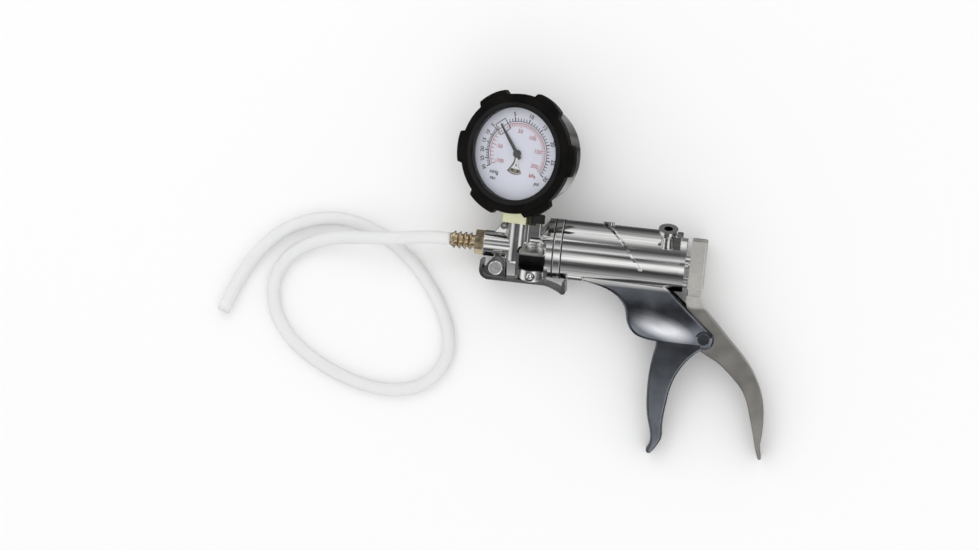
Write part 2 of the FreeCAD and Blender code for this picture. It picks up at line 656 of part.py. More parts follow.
def inlet_fitting():
    """Brass hose barb: threaded stub, hexagon, root and saw-tooth rings."""
    stub = disc_x(INLET_END, INLET_END + 6.6, THREAD_R, INLET_Y)
    corner = HEX_ACROSS / 2 / math.cos(math.radians(30))
    hexagon = Part.Face(Part.makePolygon([
        V(INLET_END, INLET_Y + corner * math.cos(math.radians(a)),
          corner * math.sin(math.radians(a))) for a in range(0, 361, 60)]))
    hexagon = hexagon.extrude(V(-HEX_T, 0, 0))
    dome = Part.makeSphere(8.2, V(INLET_END - HEX_T / 2, INLET_Y, 0))
    hexagon = hexagon.common(dome)
    root = disc_x(HOSE_START + 0.4, INLET_END, BARB_ROOT_R, INLET_Y)
    fitting = stub.fuse(hexagon).fuse(root)
    for index in range(BARBS):
        x = HOSE_START + 1.0 + BARB_PITCH * index
        tooth = Part.makeCone(BARB_ROOT_R, BARB_R, 1.5, V(x, INLET_Y, 0), X_AXIS)
        edge = disc_x(x + 1.5, x + 1.9, BARB_R, INLET_Y)
        fitting = fitting.fuse(tooth).fuse(edge)
    nose = disc_x(HOSE_START - NOSE_IN_HOSE, HOSE_START + 0.5, NOSE_R, INLET_Y)
    fitting = fitting.fuse(nose).cut(disc_x(-90, -30, 1.5, INLET_Y))
    return fitting.removeSplitter()


# ---------------------------------------------------------------- gauge

def gauge_place(shape):
    """From a gauge drawn with its face along +Z at the origin to its place on the stem."""
    shape.rotate(V(0, 0, 0), Y_AXIS, -GAUGE_TURN)
    shape.translate(V(STEM_X, GAUGE_Y, 0))
    return shape


def tube_z(z0, z1, outer, inner):
    return cyl(V(0, 0, z0), Z_AXIS, outer, z1 - z0).cut(cyl(V(0, 0, z0 - 1), Z_AXIS, inner,
                                                             z1 - z0 + 2))


def gauge_case():
    case = cyl(V(0, 0, CASE_BACK), Z_AXIS, CASE_R, CASE_FRONT - CASE_BACK)
    case = soften(case, 1.8, lambda edge: edge.BoundBox.ZMax < CASE_BACK + 0.1)
    case = case.cut(cyl(V(0, 0, CASE_BACK + CASE_WALL), Z_AXIS, CASE_R - CASE_WALL, 40))
    case = case.cut(cyl(V(0, -40, 0), Y_AXIS, 4.6, 20))
    return gauge_place(case)


def on_rim(radius, degrees):
    return V(radius * math.sin(math.radians(degrees)), radius * math.cos(math.radians(degrees)), 0)


def boot_outline():
    """Round rim with raised grips that have steep ends."""
    edges = []
    pitch = 360 / BOOT_LUGS
    for index in range(BOOT_LUGS):
        middle = pitch * index + BOOT_LUG_TURN
        foot, shoulder, gap_end = middle + 16.0, middle + 13.5, middle + pitch - 16.0
        edges.append(Part.Arc(on_rim(BOOT_LUG_R - 0.3, 2 * middle - shoulder),
                              on_rim(BOOT_LUG_R, middle),
                              on_rim(BOOT_LUG_R - 0.3, shoulder)).toShape())
        edges.append(Part.makeLine(on_rim(BOOT_LUG_R - 0.3, shoulder), on_rim(BOOT_R, foot)))
        edges.append(Part.Arc(on_rim(BOOT_R, foot), on_rim(BOOT_R, (foot + gap_end) / 2),
                              on_rim(BOOT_R, gap_end)).toShape())
        edges.append(Part.makeLine(on_rim(BOOT_R, gap_end),
                                   on_rim(BOOT_LUG_R - 0.3, middle + pitch - 13.5)))
    return Part.Face(Part.Wire(Part.__sortEdges__(edges)))


def rounded_puck(radius, front, edge_r):
    puck = cyl(V(0, 0, BOOT_BACK), Z_AXIS, radius, front - BOOT_BACK)
    return soften(puck, edge_r, lambda edge: edge.BoundBox.ZMin > front - 0.1)


def gauge_boot():
    outline = boot_outline()
    outline.translate(V(0, 0, BOOT_BACK))
    grips = outline.extrude(V(0, 0, BOOT_FRONT - BOOT_BACK))
    grips = grips.common(rounded_puck(BOOT_LUG_R + 0.1, BOOT_FRONT - 0.8, 1.4))
    boot = rounded_puck(BOOT_R + 0.05, BOOT_FRONT, 1.2).fuse(grips)
    boot = boot.cut(cyl(V(0, 0, -5), Z_AXIS, CASE_R + FIT, CASE_FRONT + 5.1))
    boot = boot.cut(cyl(V(0, 0, 0), Z_AXIS, BEZEL_R + FIT, 40))
    return gauge_place(boot.removeSplitter())


def gauge_bezel():
    """Black ring that clamps the window against the front of the case."""
    ring = tube_z(CASE_FRONT + 0.05, BEZEL_FRONT, BEZEL_R, WINDOW_R)
    ring = soften(ring, 0.7, lambda edge: edge.BoundBox.ZMin > BEZEL_FRONT - 0.1)
    seat = cyl(V(0, 0, LENS_BACK), Z_AXIS, LENS_R + FIT, LENS_T)
    return gauge_place(ring.cut(seat))


def gauge_lens():
    return gauge_place(cyl(V(0, 0, LENS_BACK), Z_AXIS, LENS_R, LENS_T))


def gauge_dial():
    dial = cyl(V(0, 0, DIAL_AT - DIAL_T), Z_AXIS, DIAL_R, DIAL_T)
    window = slab(chain([(-1.4, -1.9), (1.4, -1.9)],
                        [(1.4, -1.9), (1.5, -4.4)],
                        [(1.5, -4.4), (2.3, -6.4), (4.6, -10.2)],
                        [(4.6, -10.2), (0, -11.6), (-4.6, -10.2)],
                        [(-4.6, -10.2), (-2.3, -6.4), (-1.5, -4.4)],
                        [(-1.5, -4.4), (-1.4, -1.9)]), 3)
    window.translate(V(0, 0, DIAL_AT))
    window.rotate(V(0, 0, 0), Z_AXIS, -DIAL_TURN)
    dial = dial.cut(window).cut(cyl(V(0, 0, 5), Z_AXIS, 1.0, 20))
    return gauge_place(dial)


def gauge_pointer():
    """Pointer, its round hub and the arbor behind the dial, drawn at zero."""
    blade = polygon([(-1.0, -3.4), (1.0, -3.4), (0.8, 9.0), (0.35, 18.6), (-0.35, 18.6),
                     (-0.8, 9.0)], 0.2)
    blade.translate(V(0, 0, DIAL_AT + 0.9))
    hub = cyl(V(0, 0, DIAL_AT + 0.35), Z_AXIS, 2.2, 1.3)
    hub = soften(hub, 0.4, lambda edge: edge.BoundBox.ZMin > DIAL_AT + 1.6)
    arbor = cyl(V(0, 0, 2.2), Z_AXIS, 0.7, DIAL_AT)
    pinion = cyl(V(0, 0, 5.2), Z_AXIS, 1.9, 1.6)
    pointer = blade.fuse(hub).fuse(arbor.common(box(-5, 5, -5, 5, 2, DIAL_AT + 1))).fuse(pinion)
    pointer.rotate(V(0, 0, 0), Z_AXIS, ZERO_ANGLE - DIAL_TURN)
    return gauge_place(pointer.removeSplitter())


def gauge_socket():
    """Brass block below the case, its threaded stub and the foot inside the case."""
    half = SOCKET_SIDE / 2
    top = GAUGE_Y - CASE_R - 0.4
    square = box(-half, half, SOCKET_BOTTOM - GAUGE_Y, top - GAUGE_Y, -half, half)
    square = soften(square, 0.5, lambda edge: edge.BoundBox.YLength > 5)
    stub = cyl(V(0, SOCKET_BOTTOM - 6.6 - GAUGE_Y, 0), Y_AXIS, THREAD_R, 7.0)
    neck = cyl(V(0, top - GAUGE_Y - 0.5, 0), Y_AXIS, 4.5, 4.6)
    foot = box(-6.5, 6.5, -25.7, -18.5, -6.4, 2.0)
    socket = square.fuse(stub).fuse(neck).fuse(foot)
    socket = socket.cut(cyl(V(0, -60, 0), Y_AXIS, 1.4, 38))
    return gauge_place(socket.removeSplitter())


def bourdon_tube():
    """Flat oval tube bent round three quarters of a circle, from the foot to the linkage."""
    ring = Part.makeTorus(21.0, 1.7, V(0, 0, -5.6), Z_AXIS, 0, 360, 235)
    ring.rotate(V(0, 0, -5.6), Z_AXIS, -68)
    return gauge_place(ring)


def gauge_movement():
    """Two plates on posts that carry the toothed sector and the pointer's arbor."""
    lower = box(-6.0, 6.0, -13.0, 5.0, -2.4, -1.4)
    upper = box(-5.0, 5.0, -11.0, 5.0, 7.6, 8.6)
    posts = cyl(V(-3.8, -9.0, -1.4), Z_AXIS, 1.1, 9.0).fuse(cyl(V(3.8, -9.0, -1.4), Z_AXIS, 1.1,
                                                                 9.0))
    link = box(-2.0, 2.0, -18.4, -12.0, -2.4, -1.4)
    frame = lower.fuse(upper).fuse(posts).fuse(link)
    return gauge_place(frame.cut(cyl(V(0, 0, 0), Z_AXIS, 0.75, 20)).removeSplitter())


# ---------------------------------------------------------------- hose

# Control points of the hose, in the order it runs from the fitting to its free end:
# X from the barrel's front face, Y from the barrel's axis and height above the surface
HOSE_ROUTE = (
    (-62.4, -1.2, 16.27), (-76.0, -1.2, 16.27), (-88.5, -3.8, 18.2), (-106.5, -5.6, 18.0),
    (-123.5, -6.9, 11.4), (-139.0, -10.8, 5.4), (-152.3, -19.1, 3.5), (-160.2, -34.0, 3.5),
    (-157.6, -51.4, 3.5), (-146.4, -66.8, 3.5), (-129.9, -77.8, 3.5), (-110.8, -85.4, 3.5),
    (-91.8, -88.9, 3.5), (-74.9, -86.4, 3.5), (-62.6, -77.4, 3.5), (-57.0, -64.2, 3.5),
    (-59.4, -50.2, 3.5), (-65.6, -37.2, 3.5), (-75.2, -23.9, 3.5), (-87.7, -11.6, 3.5),
    (-103.0, -2.0, 3.5), (-121.4, 3.8, 3.5), (-140.4, 2.4, 3.5), (-158.5, -6.6, 3.5),
    (-171.5, -21.6, 3.5), (-180.5, -38.4, 3.5), (-186.0, -55.1, 3.5),
)


def hose_path(points):
    """Straight runs joined by tangent arcs; prints the radii."""
    edges = []
    radii = []
    start = points[0]
    for before, corner, after in zip(points, points[1:], points[2:]):
        run_in = corner - before
        run_out = after - corner
        turn = run_in.getAngle(run_out)
        reach = 0.45 * min(run_in.Length, run_out.Length)
        radii.append(reach / math.tan(turn / 2))
        unit_in = V(run_in).normalize()
        unit_out = V(run_out).normalize()
        first = corner - unit_in * reach
        last = corner + unit_out * reach
        bisector = (unit_out - unit_in).normalize()
        centre = corner + bisector * (radii[-1] / math.cos(turn / 2))
        middle = centre - bisector * radii[-1]
        edges.append(Part.LineSegment(start, first).toShape())
        edges.append(Part.Arc(first, middle, last).toShape())
        start = last
    edges.append(Part.LineSegment(start, points[-1]).toShape())
    print("hose radii:", " ".join("%.0f" % radius for radius in radii))
    return Part.Wire(edges)


def vacuum_hose():
    route = [V(x - ORIGIN_X, y - ORIGIN_Y, z) for x, y, z in HOSE_ROUTE]
    path = hose_path(route)
    start = route[0]
    heading = (route[1] - start).normalize()
    profile = Part.Wire(Part.makeCircle(HOSE_R, start, heading))
    hose = path.makePipeShell([profile], True, False)
    ideal = math.pi * HOSE_R ** 2 * path.Length
    print("hose length %.1f, volume %.0f, section times length %.0f"
          % (path.Length, hose.Volume, ideal))
    bore = cyl(start, heading, NOSE_R, NOSE_IN_HOSE)
    return hose.cut(bore)


# ---------------------------------------------------------------- assembly

def lever_pin():
    head = cyl(PIVOT + V(0, 0, CHEEK_OUT), Z_AXIS, 3.4, 0.9)
    head = soften(head, 0.4, lambda edge: edge.BoundBox.ZMin > CHEEK_OUT + 0.8)
    shank = cyl(PIVOT - V(0, 0, CHEEK_OUT + 1.9), Z_AXIS, PIVOT_R, 2 * CHEEK_OUT + 1.9)
    groove = cyl(PIVOT - V(0, 0, CHEEK_OUT + 1.2), Z_AXIS, 4, 0.8)
    groove = groove.cut(cyl(PIVOT - V(0, 0, CHEEK_OUT + 2), Z_AXIS, 1.9, 3))
    return head.fuse(shank).cut(groove).removeSplitter()


def lever_clip():
    clip = cyl(PIVOT - V(0, 0, CHEEK_OUT + 1.15), Z_AXIS, 4.0, 0.7)
    clip = clip.cut(cyl(PIVOT - V(0, 0, CHEEK_OUT + 2), Z_AXIS, 1.95, 3))
    mouth = box(-1.4, 1.4, -6, 0, -20, 20)
    mouth.translate(PIVOT)
    return clip.cut(mouth)


def seat(shape):
    """From the pump's own frame to the surface it lies on, origin under its middle."""
    shape.rotate(V(0, 0, 0), X_AXIS, TILT)
    shape.translate(V(-ORIGIN_X, -ORIGIN_Y, REST_R))
    return shape


def build():
    nodes = {
        "barrel_casting": barrel_casting(),
        "rear_cap": rear_cap(),
        "cap_screws": screws_x(CAP_SCREW_ANGLES, BARREL_END + CAP_T, SCREW_HEAD_T, 60.0),
        "rod_bush": ring_x(62.8, BARREL_END + CAP_T, 5.48, ROD_R + FIT),
        "rod_seal": ring_x(SPRING_END, 62.7, 5.45, ROD_R + 0.02),
        "squeeze_lever": squeeze_lever(),
        "lever_pin": lever_pin(),
        "lever_clip": lever_clip(),
        "return_spring": return_spring(),
        "valve_plate": valve_plate(),
        "inlet_check_valve": check_valve(5.0, True),
        "outlet_check_valve": check_valve(-5.0, False),
        "head_casting": head_casting(),
        "head_gasket": head_gasket(),
        "head_screws": screws_x(HEAD_SCREW_ANGLES, HEAD_SCREW_SEAT, SCREW_HEAD_T, 6.0),
        "port_plug": port_plug(),
        "release_valve_body": release_valve_body(),
        "release_ball": release_ball(),
        "release_lever": release_lever(),
        "release_screw": release_screw(),
        "release_spring": release_spring(),
        "release_pad": release_pad(),
        "release_seat": release_seat(),
        "inlet_fitting": inlet_fitting(),
        "gauge_socket": gauge_socket(),
        "gauge_case": gauge_case(),
        "gauge_boot": gauge_boot(),
        "gauge_bezel": gauge_bezel(),
        "gauge_lens": gauge_lens(),
        "gauge_dial": gauge_dial(),
        "gauge_pointer": gauge_pointer(),
        "bourdon_tube": bourdon_tube(),
        "gauge_movement": gauge_movement(),
    }
    nodes.update(piston_parts())
    placed = {name: seat(shape) for name, shape in nodes.items()}
    placed["vacuum_hose"] = vacuum_hose()
    return placed


def main():
    os.makedirs("parts", exist_ok=True)
    whole = FreeCAD.BoundBox()
    for name, shape in build().items():
        shape.exportStep("parts/" + name + ".step")
        if not shape.isValid():
            print("not valid:", name)
        print("%-20s solids %d  volume %9.1f" % (name, len(shape.Solids), shape.Volume))
        if name != "vacuum_hose":
            whole.add(shape.optimalBoundingBox())
    print("box without the hose:", whole)


if __name__ == "__main__":
    main()
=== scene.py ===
"""Looks of the hand vacuum pump: finishes with painted shade, highlights and reflections, dial, painted seam
shadows, return spring, hose and studio.

Lengths are in metres, except where a comment says millimetres.
"""
import json
import math

import bmesh
import bpy
from mathutils import Matrix, Vector


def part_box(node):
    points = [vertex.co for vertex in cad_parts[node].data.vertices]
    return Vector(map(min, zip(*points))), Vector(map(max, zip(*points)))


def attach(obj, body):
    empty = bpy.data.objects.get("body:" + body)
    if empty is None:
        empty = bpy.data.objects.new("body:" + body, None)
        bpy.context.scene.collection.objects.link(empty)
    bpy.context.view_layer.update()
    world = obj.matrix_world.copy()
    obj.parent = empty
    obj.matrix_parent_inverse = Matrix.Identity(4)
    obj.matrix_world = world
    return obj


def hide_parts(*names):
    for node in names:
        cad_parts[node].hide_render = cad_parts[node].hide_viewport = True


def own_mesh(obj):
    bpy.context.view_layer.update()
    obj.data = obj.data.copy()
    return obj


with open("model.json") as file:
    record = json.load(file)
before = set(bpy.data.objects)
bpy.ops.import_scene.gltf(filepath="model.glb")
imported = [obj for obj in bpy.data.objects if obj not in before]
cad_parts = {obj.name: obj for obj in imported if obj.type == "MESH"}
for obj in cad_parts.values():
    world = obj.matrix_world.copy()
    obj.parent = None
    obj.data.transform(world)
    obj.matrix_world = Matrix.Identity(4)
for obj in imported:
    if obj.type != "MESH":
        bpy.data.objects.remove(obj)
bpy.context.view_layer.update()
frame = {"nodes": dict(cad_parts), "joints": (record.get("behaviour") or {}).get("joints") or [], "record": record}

MM = 0.001
nodes = frame["nodes"]
joints = {joint["name"]: joint for joint in frame["joints"]}

# Heights in the frame's Y where the finish of a casting changes; below them the casting is painted darker, painted
# shade for the dark reflections of the grips
GRIP_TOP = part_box("valve_plate")[0].y - 0.3 * MM        # under the barrel
BLOCK_FOOT = GRIP_TOP - 7.5 * MM                        # under the lever's block


# ------------------------------------------------------------------ placing

# The dial's own frame: its normal and centre come from the pointer's joint
POINTER_LIFT = 1.0 * MM             # from the face of the dial to the pointer's joint
DIAL_TURN = math.radians(6.0)       # clockwise from the pump's own up, seen from the front
BARREL_AXIS = Vector((1, 0, 0))
PUMP_SIDE = -Vector(joints["squeeze"]["axis"]).normalized()
PUMP_UP = PUMP_SIDE.cross(BARREL_AXIS).normalized()
DIAL_NORMAL = -Vector(joints["pointer_turn"]["axis"]).normalized()
DIAL_CENTRE = Vector(joints["pointer_turn"]["pos_m"]) - DIAL_NORMAL * POINTER_LIFT
DIAL_UP = Matrix.Rotation(-DIAL_TURN, 3, DIAL_NORMAL) @ PUMP_UP
DIAL_RIGHT = DIAL_UP.cross(DIAL_NORMAL).normalized()


def dial_place(lift):
    """Matrix from a drawing in millimetres to the face of the dial, raised by lift."""
    place = Matrix((DIAL_RIGHT, DIAL_UP, DIAL_NORMAL)).transposed().to_4x4()
    place.translation = DIAL_CENTRE + DIAL_NORMAL * lift
    return place @ Matrix.Scale(MM, 4)


def show(item):
    """The object, added to the scene."""
    bpy.context.scene.collection.objects.link(item)
    return item


def piece(name, mesh, body, slot, *materials, smooth=True):
    """New object with its mesh in place, riding on a CAD body."""
    item = show(bpy.data.objects.new(name, mesh))
    for material in materials:
        mesh.materials.append(material)
    for face in mesh.polygons:
        face.use_smooth = smooth
    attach(item, body)
    return item


# ------------------------------------------------------------------ meshes

def finished_mesh(name, shape):
    """New mesh of a bmesh, which is then freed."""
    mesh = bpy.data.meshes.new(name)
    shape.to_mesh(mesh)
    shape.free()
    return mesh


def mesh_of_curve(curve):
    """Mesh of a text or a curve, which is then removed."""
    holder = show(bpy.data.objects.new(curve.name, curve))
    bpy.context.view_layer.update()
    mesh = bpy.data.meshes.new_from_object(holder)
    bpy.data.objects.remove(holder)
    bpy.data.curves.remove(curve)
    return mesh


def thicken(shape, faces, height):
    """Extrude flat faces upwards, and turn every face of the shape outwards."""
    grown = bmesh.ops.extrude_face_region(shape, geom=faces)
    raised = [item for item in grown["geom"] if isinstance(item, bmesh.types.BMVert)]
    bmesh.ops.translate(shape, verts=raised, vec=Vector((0, 0, height)))
    bmesh.ops.recalc_face_normals(shape, faces=shape.faces)


def join_loops(shape, loops):
    """Ring of faces: each closed loop of vertices is joined to the next, the last to the first."""
    for here, there in zip(loops, loops[1:] + loops[:1]):
        count = len(here)
        for index in range(count):
            after = (index + 1) % count
            shape.faces.new([here[index], here[after], there[after], there[index]])
    bmesh.ops.recalc_face_normals(shape, faces=shape.faces)


# ------------------------------------------------------------------ material nodes

NOISE_RANGE = (0.3, 0.7)            # most values of a noise texture lie between these
NOISE_ROUGHNESS = 0.55
METAL_GRAIN = 900                   # scales of noise: a larger one is finer
SOFT_PATCHES = 80
SOFT_GRAIN = 1400
GRAIN_DEPTH = 0.08 * MM
SHADE_AND_FINISH_EDGE = 0.8 * MM              # half the height over which a casting's finish and its painted shade change
PAINTED_HIGHLIGHT_EDGE = (0.45, 1.15)            # a painted highlight is full within the first share of its size, and has faded away at the second
                                    # has faded away at the second
BAND_BLUE = 0.985                   # how much blue a banded metal has, beside its red and green


def grey(level):
    return (level, level, level)


def new_material(name):
    material = bpy.data.materials.new(name)
    material.use_nodes = True
    tree = material.node_tree
    return material, tree, tree.nodes["Principled BSDF"]


def feed(tree, value, socket):
    """Link a socket to another node's output, or set it to a plain value."""
    if isinstance(value, bpy.types.NodeSocket):
        tree.links.new(value, socket)
    else:
        socket.default_value = value


def noise(tree, scale, detail, stretch=(1, 1, 1)):
    """Noise in the object's own metres, stretched where the finish has a direction."""
    where = tree.nodes.new("ShaderNodeTexCoord")
    mapping = tree.nodes.new("ShaderNodeMapping")
    mapping.inputs["Scale"].default_value = stretch
    texture = tree.nodes.new("ShaderNodeTexNoise")
    texture.inputs["Scale"].default_value = scale
    texture.inputs["Detail"].default_value = detail
    texture.inputs["Roughness"].default_value = NOISE_ROUGHNESS
    feed(tree, where.outputs["Object"], mapping.inputs["Vector"])
    feed(tree, mapping.outputs["Vector"], texture.inputs["Vector"])
    return texture.outputs["Fac"]


def spread(tree, value, low, high, span=NOISE_RANGE):
    """Value from within the span, mapped to low..high."""
    ranger = tree.nodes.new("ShaderNodeMapRange")
    start, end = span
    ranger.inputs["From Min"].default_value = start
    ranger.inputs["From Max"].default_value = end
    ranger.inputs["To Min"].default_value = low
    ranger.inputs["To Max"].default_value = high
    feed(tree, value, ranger.inputs["Value"])
    return ranger.outputs["Result"]


def colour_ramp(tree, factor, stops):
    """Colour at a factor between 0 and 1, from stops of (factor, colour) in rising order."""
    ramp = tree.nodes.new("ShaderNodeValToRGB")
    elements = ramp.color_ramp.elements
    while len(elements) < len(stops):
        elements.new(0.5)
    for element, (position, colour) in zip(elements, stops):
        element.position = position
        element.color = (*colour, 1)
    feed(tree, factor, ramp.inputs["Fac"])
    return ramp.outputs["Color"]


def mottling(tree, cloud, dark, light):
    return colour_ramp(tree, cloud, tuple(zip(NOISE_RANGE, (dark, light))))


def mixed(tree, factor, first, second, kind="RGBA", blend="MIX"):
    """Colour, or with kind FLOAT a number, that goes from first to second as the factor rises.

    With another blend than MIX, second is laid over first by the factor.
    """
    mix = tree.nodes.new("ShaderNodeMix")
    mix.data_type = kind
    mix.blend_type = blend
    feed(tree, factor, mix.inputs["Factor"])
    feed(tree, first, mix.inputs["A"])
    feed(tree, second, mix.inputs["B"])
    return mix.outputs["Result"]


def bump(tree, shader, height, strength, distance=GRAIN_DEPTH):
    lift = tree.nodes.new("ShaderNodeBump")
    lift.inputs["Strength"].default_value = strength
    lift.inputs["Distance"].default_value = distance
    feed(tree, height, lift.inputs["Height"])
    feed(tree, lift.outputs["Normal"], shader.inputs["Normal"])


def height_across(tree):
    """Height across the barrel, in the object's own Y."""
    where = tree.nodes.new("ShaderNodeTexCoord")
    split = tree.nodes.new("ShaderNodeSeparateXYZ")
    feed(tree, where.outputs["Object"], split.inputs["Vector"])
    return split.outputs["Y"]


def brightened(tree, colour, painted_highlight):
    """The colour, blended to a bright one inside a soft-edged oval: a painted highlight."""
    (x, y), long_half, wide_half, turn, bright = painted_highlight
    where = tree.nodes.new("ShaderNodeTexCoord")
    mapping = tree.nodes.new("ShaderNodeMapping")
    mapping.vector_type = "TEXTURE"
    mapping.inputs["Location"].default_value = (x * MM, y * MM, 0)
    mapping.inputs["Rotation"].default_value = (0, 0, math.radians(turn))
    mapping.inputs["Scale"].default_value = (long_half * MM, wide_half * MM, 1)
    feed(tree, where.outputs["Object"], mapping.inputs["Vector"])
    flat = tree.nodes.new("ShaderNodeVectorMath")
    flat.operation = "MULTIPLY"
    flat.inputs[1].default_value = (1, 1, 0)
    feed(tree, mapping.outputs["Vector"], flat.inputs[0])
    reach = tree.nodes.new("ShaderNodeVectorMath")
    reach.operation = "LENGTH"
    feed(tree, flat.outputs["Vector"], reach.inputs[0])
    share = spread(tree, reach.outputs["Value"], 1.0, 0.0, PAINTED_HIGHLIGHT_EDGE)
    return mixed(tree, share, colour, (*bright, 1))


# ------------------------------------------------------------------ materials

def mottled(name, dark, light, rough, patches, grain, grain_strength, stretch=(1, 1, 1)):
    """New material with soft patches of colour and polish and a fine grain."""
    material, tree, shader = new_material(name)
    cloud = noise(tree, patches, detail=4, stretch=stretch)
    feed(tree, mottling(tree, cloud, dark, light), shader.inputs["Base Color"])
    feed(tree, spread(tree, cloud, *rough), shader.inputs["Roughness"])
    bump(tree, shader, noise(tree, grain, detail=3), grain_strength)
    return material, shader


def metal(name, dark, light, rough, patches=60, grain_strength=0.12, stretch=(1, 1, 1)):
    material, shader = mottled(name, dark, light, rough, patches, METAL_GRAIN, grain_strength,
                               stretch)
    shader.inputs["Metallic"].default_value = 1.0
    return material


def soft_solid(name, dark, light, rough, grain_strength=0.2, specular=0.5):
    """Rubber or plastic, and the dial's enamel."""
    material, shader = mottled(name, dark, light, rough, SOFT_PATCHES, SOFT_GRAIN, grain_strength)
    shader.inputs["Specular IOR Level"].default_value = specular
    return material


def window_material():
    material, tree, shader = new_material("lens_clear")
    shader.inputs["Base Color"].default_value = (0.96, 0.98, 1.0, 1)
    shader.inputs["Alpha"].default_value = 0.04
    shader.inputs["Specular IOR Level"].default_value = 0.08
    feed(tree, spread(tree, noise(tree, 40, detail=3), 0.02, 0.06), shader.inputs["Roughness"])
    return material


def hose_material():
    material, tree, shader = new_material("hose_clear")
    shader.inputs["Transmission Weight"].default_value = 0.22
    shader.inputs["IOR"].default_value = 1.43
    cloud = noise(tree, 45, detail=4)
    feed(tree, mottling(tree, cloud, (0.965, 0.97, 0.97), (0.99, 0.99, 0.985)),
         shader.inputs["Base Color"])
    feed(tree, spread(tree, cloud, 0.30, 0.42), shader.inputs["Roughness"])
    bump(tree, shader, noise(tree, 500, detail=2), 0.08, distance=0.1 * MM)
    return material


def flat_ink(name, colour):
    material, tree, shader = new_material(name)
    darker = tuple(value * 0.8 for value in colour)
    cloud = noise(tree, 700, detail=2)
    feed(tree, mottling(tree, cloud, darker, colour), shader.inputs["Base Color"])
    shader.inputs["Roughness"].default_value = 0.55
    return material


def banded_metal(name, bands, rough):
    """Satin metal, bright and dark in bands across it, painted reflections: (place in millimetres, brightness)."""
    material, tree, shader = new_material(name)
    shader.inputs["Metallic"].default_value = 1.0
    first, last = bands[0][0], bands[-1][0]
    share = spread(tree, height_across(tree), 0.0, 1.0, (first * MM, last * MM))
    stops = [((place - first) / (last - first), (level, level, level * BAND_BLUE))
             for place, level in bands]
    cloud = noise(tree, 90, detail=4)
    colour = mixed(tree, 1.0, colour_ramp(tree, share, stops),
                   mottling(tree, cloud, grey(0.86), grey(1.0)), blend="MULTIPLY")
    feed(tree, colour, shader.inputs["Base Color"])
    feed(tree, spread(tree, cloud, *rough), shader.inputs["Roughness"])
    grain = noise(tree, METAL_GRAIN, detail=3, stretch=(1, 1, 0.2))
    bump(tree, shader, grain, 0.08)
    return material


def two_tone_metal(name, level, above, below, rough_above, rough_below,
                   grain_stretch=(1, 1, 1), painted_highlight=None):
    """Casting whose colours and roughness change at a level across the barrel; the darker colours
    below the level are painted shade, for the dark reflections of the grips.

    A painted highlight is a brighter oval painted on it, for a reflection: centre, half length and
    half width in millimetres, turn in degrees, colour.
    """
    material, tree, shader = new_material(name)
    shader.inputs["Metallic"].default_value = 1.0
    cloud = noise(tree, 70, detail=4)
    streak = noise(tree, 1100, detail=3, stretch=grain_stretch)
    share = spread(tree, height_across(tree), 0.0, 1.0,
                   (level - SHADE_AND_FINISH_EDGE, level + SHADE_AND_FINISH_EDGE))
    colour = mixed(tree, share, mottling(tree, cloud, *below), mottling(tree, streak, *above))
    if painted_highlight:
        colour = brightened(tree, colour, painted_highlight)
    feed(tree, colour, shader.inputs["Base Color"])
    rough = mixed(tree, share, spread(tree, cloud, *rough_below),
                  spread(tree, cloud, *rough_above), kind="FLOAT")
    feed(tree, rough, shader.inputs["Roughness"])
    bump(tree, shader, streak, 0.10, distance=0.06 * MM)
    return material


# Painted reflections: bright and dark bands, by height in millimetres, on the gauge's case and on the release
# valve
CASE_PAINTED_REFLECTIONS = ((36, 0.36), (45, 0.34), (51.5, 0.27), (54, 0.08), (57, 0.13), (60.5, 0.30),
              (64, 0.22), (66, 0.06), (68, 0.24), (70.5, 0.30), (73, 0.05), (79, 0.08), (85, 0.34))
VALVE_PAINTED_REFLECTIONS = ((-10, 0.95), (-3.4, 0.92), (-2.6, 0.05), (5.0, 0.05), (5.8, 0.95), (12, 0.95))
# Painted highlight on the finger guard, for its bright reflection: centre, half length, half width, turn, colour
PAINTED_HIGHLIGHT_SPOT = ((32.5, -25.2), 17.5, 6.0, -17.0, (0.66, 0.67, 0.70))

